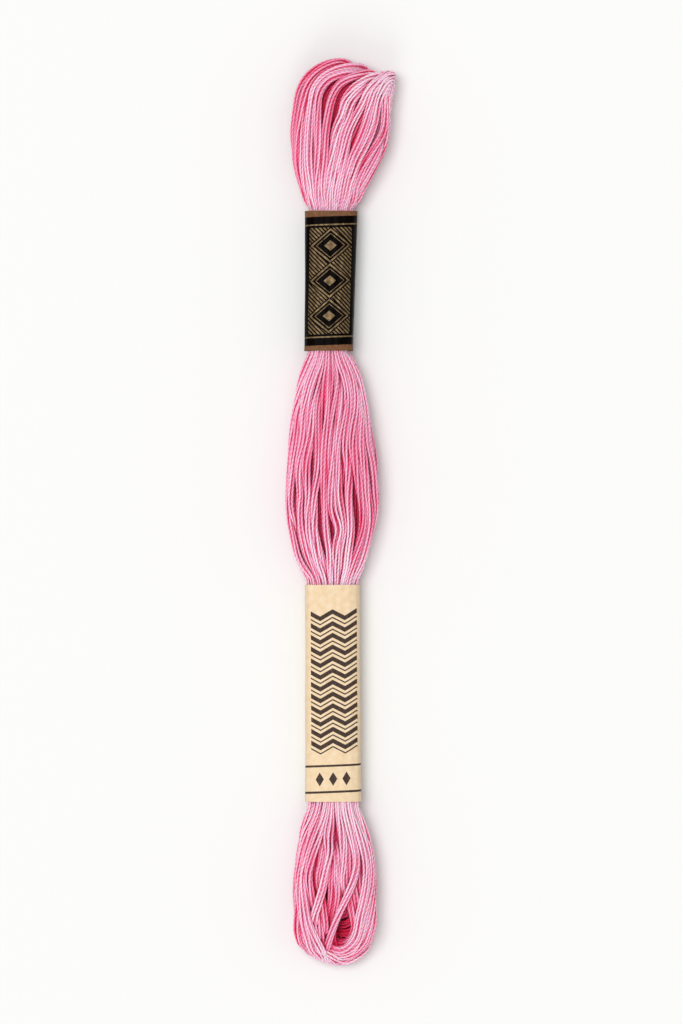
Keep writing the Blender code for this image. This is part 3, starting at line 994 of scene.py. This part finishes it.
def relief(marks, y, low, high, girth, phase):
    """How far the paper stands out: thread ridges, soft dents, lifted ends and the lap."""
    end = np.minimum(y - low, high - y)
    ridges = 0.030 * np.sin(2 * math.pi * marks / 1.45 + 0.6 * np.sin(y / 7.0 + phase))
    dents = 0.05 * np.sin(marks / 2.3 + y / 8.0 + phase) * np.sin(y / 4.3 + 2.0 * phase)
    lift = 0.10 * np.exp(-end / 0.7) * (0.6 + 0.4 * np.sin(marks / 0.9 + phase))
    lap = (PAPER + 0.03) * smooth((marks - girth - 0.9) / 0.6)
    free_edge = 0.10 * smooth((marks - girth - LAP_START - LAP + 1.2) / 1.2)
    return ridges + dents + lift + lap + free_edge


def paper_sheet(name, stations, phase):
    """A closed thin sheet. Its print map is in mm: across from the front's middle, up from the end."""
    low, high = band_ends[name]
    rows = np.linspace(low, high, stations)
    outer, inner, ups, acrosses = [], [], [], []
    for y in rows:
        safe = np.clip(y, low + 0.1, high - 0.1)
        left, right = (felt_from(bodies[name], (side * FAR, safe), (0.0, safe))[0] for side in (-1, 1))
        girth = section(left, right, np.zeros(1))[2]
        marks = np.linspace(LAP_START, girth + LAP_START + LAP, AROUND)
        point, out, _ = section(left, right, marks)
        stand = relief(marks, y, low, high, girth, phase)[:, None]
        for sheet, offset in ((outer, stand), (inner, stand - PAPER)):
            places = point + offset * out
            sheet.append(np.column_stack([places[:, 0], np.full(AROUND, y), places[:, 1]]))
        acrosses.append(girth / 2 - marks)
        ups.append(np.full(AROUND, y - low))
    vertices = np.concatenate([np.concatenate(outer), np.concatenate(inner)])
    first = np.arange(stations * AROUND).reshape(stations, AROUND)
    second = first + stations * AROUND

    def quads(*corners):
        return np.stack(corners, axis=-1).reshape(-1, 4)

    def seam(one, two):
        return quads(one[:-1], one[1:], two[1:], two[:-1])

    # The outer sheet, the inner sheet, and the four cut edges.
    faces = [seam(first[:, :-1], first[:, 1:])]
    faces += [quads(second[:-1, :-1], second[:-1, 1:], second[1:, 1:], second[1:, :-1])]
    faces += [seam(first[0], second[0]), seam(second[-1], first[-1])]
    faces += [seam(second[:, 0], first[:, 0]), seam(first[:, -1], second[:, -1])]
    across, up = np.concatenate(acrosses + acrosses), np.concatenate(ups + ups)
    reach = AROUND - 1.0
    share_x = np.tile(np.arange(AROUND) / reach, 2 * stations)
    share_y = np.repeat(np.tile(np.arange(stations) / (stations - 1.0), 2), AROUND)
    printed, bake = [], []
    for number, sheet in enumerate(faces):
        corner = sheet.ravel()
        printed_up = up[corner] if number == 0 else np.full(len(corner), NO_PRINT)
        printed.append(np.column_stack([across[corner], printed_up]))
        run = share_x[corner] if number < 4 else share_y[corner]
        if number < 2:
            side = 0.01 + 0.44 * (share_y[corner] + 1.05 * number)
        else:
            side = 0.93 + 0.016 * (number - 2) + 0.010 * (corner >= stations * AROUND)
        bake.append(np.column_stack([0.01 + 0.98 * run, side]))
    maps = {"print": np.concatenate(printed), "OFBake": np.concatenate(bake)}
    made = mesh_object(name.replace("band", "paper"), vertices, np.concatenate(faces), maps, {})
    made.data.set_sharp_from_angle(angle=math.radians(40))
    return made


paper_upper = paper_sheet("band_upper", 46, 0.7)
paper_lower = paper_sheet("band_lower", 60, 2.1)
for piece in (paper_upper, paper_lower):
    print(piece.name, len(piece.data.polygons), "faces")

# %% [markdown]
# ## Colours and nodes
# Colours are written as the screen shows them and turned into the linear light that Blender
# computes with. One small function adds a node, sets it up and links it. A material starts with
# the shader's plain numbers, and its patterns are plugged in as they get ready.

# %% Colour and node helpers
def linear(code):
    """A hex sRGB colour as linear red, green, blue and alpha."""
    parts = [int(code[k : k + 2], 16) / 255 for k in (1, 3, 5)]
    return [part / 12.92 if part <= 0.04045 else ((part + 0.055) / 1.055) ** 2.4 for part in parts] + [1.0]


def plug(tree, node, inputs):
    """Fills a node's sockets, by number or name: with a value, a node, or a node's output."""
    for key, entry in inputs.items() if isinstance(inputs, dict) else enumerate(inputs):
        if isinstance(entry, bpy.types.Node):
            entry = entry.outputs[0]
        if isinstance(entry, bpy.types.NodeSocket):
            tree.links.new(entry, node.inputs[key])
        else:
            node.inputs[key].default_value = entry


def add(tree, kind, inputs=(), stops=(), **settings):
    """Adds a node with its settings, its inputs and, on a colour ramp, its stops."""
    node = tree.nodes.new("ShaderNode" + kind)
    for title, setting in settings.items():
        setattr(node, title, setting)
    plug(tree, node, inputs)
    for number, (place, code) in enumerate(stops):
        if number >= len(node.color_ramp.elements):
            node.color_ramp.elements.new(place)
        node.color_ramp.elements[number].position = place
        node.color_ramp.elements[number].color = linear(code)
    return node


def new_material(title, numbers):
    """A material with a Principled shader, set to these numbers, and an output."""
    made = bpy.data.materials.new(title)
    made.use_nodes = True
    made.node_tree.nodes.clear()
    shader = add(made.node_tree, "BsdfPrincipled", numbers)
    add(made.node_tree, "OutputMaterial", {"Surface": shader})
    return made, made.node_tree, shader


print("Pink in linear light:", [round(part, 3) for part in linear("#F48FB1")])

# %% [markdown]
# ## Mercerised cotton
# Embroidery cotton is bathed in lye under tension, which swells the fibres and makes them shine
# like silk. Each strand is two finer threads that go round each other once in 1.7 mm, so a crest
# shows every 0.85 mm. The crests are bumps that catch the light, and they are also painted lighter
# than the grooves, so the eye sees slanting glints like a string of grains, partly painted. The
# fibres let light through, which makes the floss glow; its slits are crimson partly from that and
# partly from painted shade. Cotton's IOR is 1.53.

# %% Floss material
TWIST_PITCH = 1.7
floss, tree, shader = new_material("mercerised_cotton", {
    "Roughness": 0.48, "IOR": 1.53, "Specular IOR Level": 0.28,
    "Subsurface Weight": 0.45, "Subsurface Radius": (1.0, 0.25, 0.40), "Subsurface Scale": 0.9 * MM,
    "Sheen Weight": 0.08, "Sheen Roughness": 0.35, "Sheen Tint": linear("#FFD0E0"),
})
measure = add(tree, "SeparateXYZ", [add(tree, "UVMap", uv_map="thread")])
around, along = measure.outputs[0], measure.outputs[1]
slant = add(tree, "Math", (along, 1 / TWIST_PITCH, 0.0), operation="MULTIPLY_ADD")
slant = add(tree, "Math", (slant, around), operation="SUBTRACT")
wave = add(tree, "Math", (slant, 2 * math.pi), operation="MULTIPLY")
groove = add(tree, "Math", (add(tree, "Math", (wave,), operation="SINE"),), operation="ABSOLUTE")
crest = add(tree, "Math", (groove, 0.6), operation="POWER")
half_along = add(tree, "Math", (along, 0.5), operation="MULTIPLY")
fibre_place = add(tree, "CombineXYZ", (slant, half_along))
fibres = add(tree, "TexNoise", {"Vector": fibre_place, "Scale": 7.0, "Detail": 2.0})
shade = add(tree, "Attribute", attribute_name="shade").outputs["Fac"]
lit = add(tree, "Attribute", attribute_name="lit").outputs["Fac"]
# Painted light and shade: the open side of a strand is painted lighter, its hidden side and the
# deep inside of the hank darker. The dye is uneven, the twist's crests are painted lighter than its
# grooves, and the fibres make fine streaks.
tone = -0.345
for measured, weight in ((lit, 0.82), (shade, 0.36), (crest, 0.22), (fibres, 0.22)):
    tone = add(tree, "Math", (measured, weight, tone), operation="MULTIPLY_ADD")
# Painted shade is crimson at the low end of the ramp, painted light pale pink at the high end.
stops = [(0.0, "#EC0C42"), (0.25, "#E63A6A"), (0.55, "#F184A6"), (0.8, "#FCB4CE"), (1.0, "#FFD8E6")]
colour = add(tree, "ValToRGB", (tone,), stops)
height = add(tree, "Math", (fibres, 0.35, crest), operation="MULTIPLY_ADD")
bump = add(tree, "Bump", {"Height": height, "Strength": 1.0, "Distance": 0.10 * MM})
plug(tree, shader, {"Base Color": colour, "Normal": bump})
for piece in floss_pieces:
    piece.data.materials.append(floss)
    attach(piece, "root")
    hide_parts("hank")
print("Floss pieces:", [piece.name for piece in floss_pieces])

# %% [markdown]
# ## Coated black label paper
# The upper label is thin paper, coated and printed black, with a bronze ink. The coat gives a soft
# gloss and very deep black, the bronze is dull and warm. The pattern is a plain chain of lozenges
# on a hatched ground, a trade ornament as old as printed labels.

# %% Black and bronze paper
def stripe(tree, value, low, high):
    """A printed stripe: 1 where the value lies between low and high, else 0."""
    above = add(tree, "Math", (value, low), operation="GREATER_THAN")
    below = add(tree, "Math", (value, high), operation="LESS_THAN")
    return add(tree, "Math", (above, below), operation="MULTIPLY")


def overprint(tree, *patterns):
    """Patterns printed over each other."""
    whole = patterns[0]
    for pattern in patterns[1:]:
        whole = add(tree, "Math", (whole, pattern), operation="MAXIMUM")
    return whole


def apart(tree, value, line):
    """How far a value is from a line, to either side of it."""
    return add(tree, "Math", (add(tree, "Math", (value, line), operation="SUBTRACT"),), operation="ABSOLUTE")


def print_place(tree, skew):
    """The print's own measures in mm: across, up (a little askew, as wound by hand), and both."""
    place = add(tree, "UVMap", uv_map="print")
    parts = add(tree, "SeparateXYZ", (place,))
    up = add(tree, "Math", (parts.outputs[0], -skew, parts.outputs[1]), operation="MULTIPLY_ADD")
    return parts.outputs[0], up, place


def paper_grain(tree, shader, place, size, depth):
    """Fibres of the paper: a long-grained noise that dents it by a few hundredths of a millimetre."""
    stretched = add(tree, "VectorMath", (place, (1 / size, 0.4 / size, 1.0)), operation="MULTIPLY")
    grain = add(tree, "TexNoise", {"Vector": stretched, "Scale": 1.0, "Detail": 3.0})
    bump = add(tree, "Bump", {"Height": grain, "Strength": 0.6, "Distance": depth * MM})
    plug(tree, shader, {"Normal": bump})
    return grain


coated = {"IOR": 1.5, "Specular IOR Level": 0.02}
black_label, tree, shader = new_material("coated_black_label_paper", coated)
upper_length = band_ends["band_upper"][1] - band_ends["band_upper"][0]
across, up, place = print_place(tree, 0.035)
grain = paper_grain(tree, shader, place, 0.35, 0.02)
aside = add(tree, "Math", (across,), operation="ABSOLUTE")
from_middle = apart(tree, up, upper_length / 2)
from_end = add(tree, "Math", (upper_length / 2, from_middle), operation="SUBTRACT")
end_stripe = stripe(tree, from_end, -0.5, 1.0)
rule = stripe(tree, from_end, 2.35, 2.6)
# Lozenges of 6.3 mm, three of them between the rules.
LOZENGE = 6.3
step_up = add(tree, "Math", (up, upper_length / 2 - 1.5 * LOZENGE), operation="SUBTRACT")
inside = add(tree, "Math", (step_up, LOZENGE), operation="FLOORED_MODULO")
inside = apart(tree, inside, LOZENGE / 2)
inside = add(tree, "Math", (inside, 2 / LOZENGE), operation="MULTIPLY")
reach = add(tree, "Math", (aside, 1 / 3.7, inside), operation="MULTIPLY_ADD")
# Each is a bold line, a fine line inside it, and a solid heart.
LOZENGE_LINES = ((0.86, 0.98), (0.66, 0.71), (-1.0, 0.30))
lozenges = overprint(tree, *[stripe(tree, reach, low, high) for low, high in LOZENGE_LINES])
hatch = add(tree, "Math", (across, up), operation="ADD")
hatch = add(tree, "Math", (hatch, 0.75), operation="FLOORED_MODULO")
hatch = stripe(tree, hatch, 0.36, 0.75)
hatch = add(tree, "Math", (hatch, stripe(tree, reach, 1.08, 9.0)), operation="MULTIPLY")
panel = stripe(tree, from_end, 3.0, 99.0)
panel = add(tree, "Math", (panel, stripe(tree, aside, -1.0, 3.9)), operation="MULTIPLY")
ornament = add(tree, "Math", (overprint(tree, lozenges, hatch), panel), operation="MULTIPLY")
ink = overprint(tree, ornament, rule)
worn = add(tree, "TexNoise", {"Vector": place, "Scale": 1.6, "Detail": 3.0})
bronze = add(tree, "ValToRGB", (worn,), [(0.30, "#504231"), (0.50, "#69573F"), (0.72, "#877352")])
black = add(tree, "ValToRGB", (grain,), [(0.30, "#030101"), (0.75, "#090503")])
brown = add(tree, "ValToRGB", (worn,), [(0.30, "#62422D"), (0.70, "#7C583D")])
mixed = add(tree, "MixRGB", (ink, black, bronze))
mixed = add(tree, "MixRGB", (end_stripe, mixed, brown))
# Where no print lies, the back and the cut edges, the paper is grey-brown.
bare = add(tree, "Math", (up, -5.0), operation="LESS_THAN")
mixed = add(tree, "MixRGB", (bare, mixed, linear("#6E5B4C")))
metal = add(tree, "Math", (ink, 0.30), operation="MULTIPLY")
rough = add(tree, "Math", (grain, 0.25, 0.30), operation="MULTIPLY_ADD")
plug(tree, shader, {"Base Color": mixed, "Metallic": metal, "Roughness": rough})

# %% [markdown]
# ## Uncoated cream label paper
# The lower label is uncoated paper: matte, warm, and a little mottled. Its print is dark brown and
# one colour only. Between two rules lies a row of small lozenges, and above them a panel of plain
# zigzag lines, at the scale of the real print.

# %% Cream paper
uncoated = {"Roughness": 0.72, "IOR": 1.5, "Specular IOR Level": 0.30}
cream_label, tree, shader = new_material("uncoated_cream_label_paper", uncoated)
across, up, place = print_place(tree, 0.04)
grain = paper_grain(tree, shader, place, 0.30, 0.03)
rules = overprint(tree, stripe(tree, up, 1.58, 1.98), stripe(tree, up, 6.28, 6.66))
BEAD_SPACING = 2.4
beads = add(tree, "Math", (across, BEAD_SPACING / 2), operation="ADD")
beads = add(tree, "Math", (beads, BEAD_SPACING), operation="FLOORED_MODULO")
beads = add(tree, "Math", (apart(tree, beads, BEAD_SPACING / 2), 1 / 0.75), operation="MULTIPLY")
rise = apart(tree, up, 4.1)
beads = stripe(tree, add(tree, "Math", (rise, 1 / 1.25, beads), operation="MULTIPLY_ADD"), -1.0, 1.0)
beads = add(tree, "Math", (beads, stripe(tree, across, -3.6, 3.6)), operation="MULTIPLY")
zigzag = add(tree, "Math", (across, 2.2), operation="PINGPONG")
folded = add(tree, "Math", (zigzag, 0.55, up), operation="MULTIPLY_ADD")
lines = add(tree, "Math", (folded, 2.1), operation="FLOORED_MODULO")
lines = overprint(tree, stripe(tree, lines, 0.0, 0.85), stripe(tree, lines, 1.35, 1.62))
panel = stripe(tree, folded, 9.4, 34.7)
panel = add(tree, "Math", (panel, stripe(tree, across, -4.0, 4.6)), operation="MULTIPLY")
lines = add(tree, "Math", (lines, panel), operation="MULTIPLY")
mottle = add(tree, "TexNoise", {"Vector": place, "Scale": 0.9, "Detail": 4.0})
ink_wear = add(tree, "ValToRGB", (grain,), [(0.30, "#2E2019"), (0.62, "#43322A"), (0.78, "#6B5546")])
cream = add(tree, "ValToRGB", (mottle,), [(0.30, "#DBBF98"), (0.50, "#E0C7A3"), (0.70, "#E5CFB0")])
mixed = add(tree, "MixRGB", (overprint(tree, rules, beads, lines), cream, ink_wear))
plug(tree, shader, {"Base Color": mixed})

for piece, paper, node, slot in (
    (paper_upper, black_label, "band_upper", "black_paper"),
    (paper_lower, cream_label, "band_lower", "cream_paper"),
):
    piece.data.materials.append(paper)
    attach(piece, "root")
    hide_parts(node)
print("Papers:", black_label.name, "and", cream_label.name)

# %% [markdown]
# ## Floor, light and camera
# A hank for sale is photographed lying on plain pale paper. A large soft light stands high above
# it, a little to the left, and a weaker one far in front, so that the shadows are short and faint.
# The camera hangs straight above, with a long lens, so that nothing leans.

# %% Stage
FLOOR_HALF = 3.0
floor_mesh = bpy.data.meshes.new("floor")
corners = [(FLOOR_HALF * x, FLOOR_HALF * y, 0) for x, y in ((-1, -1), (1, -1), (1, 1), (-1, 1))]
floor_mesh.from_pydata(corners, [], [(0, 1, 2, 3)])
floor = in_scene("floor", floor_mesh)
pale_floor = new_material("pale_floor", {"Base Color": linear("#E5E5E4"), "Roughness": 0.9})[0]
floor_mesh.materials.append(pale_floor)


def soft_light(name, place, size, power):
    """A square light that looks at the hank."""
    lamp = bpy.data.lights.new(name, "AREA")
    lamp.size = size
    lamp.energy = power
    holder = in_scene(name, lamp)
    holder.location = place
    holder.rotation_euler = (-Vector(place)).to_track_quat("-Z", "Y").to_euler()


soft_light("key", (-0.9, 0.5, 4.1), 2.0, 106.0)
soft_light("front", (-0.8, -5.2, 4.0), 3.2, 84.0)
world = bpy.data.worlds.new("room")
world.use_nodes = True
plug(world.node_tree, world.node_tree.nodes["Background"], (linear("#FFFFFF"), 0.59))
bpy.context.scene.world = world
bpy.context.scene.view_settings.view_transform = "Standard"

CAMERA_HEIGHT = 1.5
FRAME_LENGTH = 0.184
lens = bpy.data.cameras.new("camera")
lens.lens = 36.0 * CAMERA_HEIGHT / FRAME_LENGTH
camera = in_scene("camera", lens)
camera.location = (0, 0, CAMERA_HEIGHT)
bpy.context.scene.camera = camera
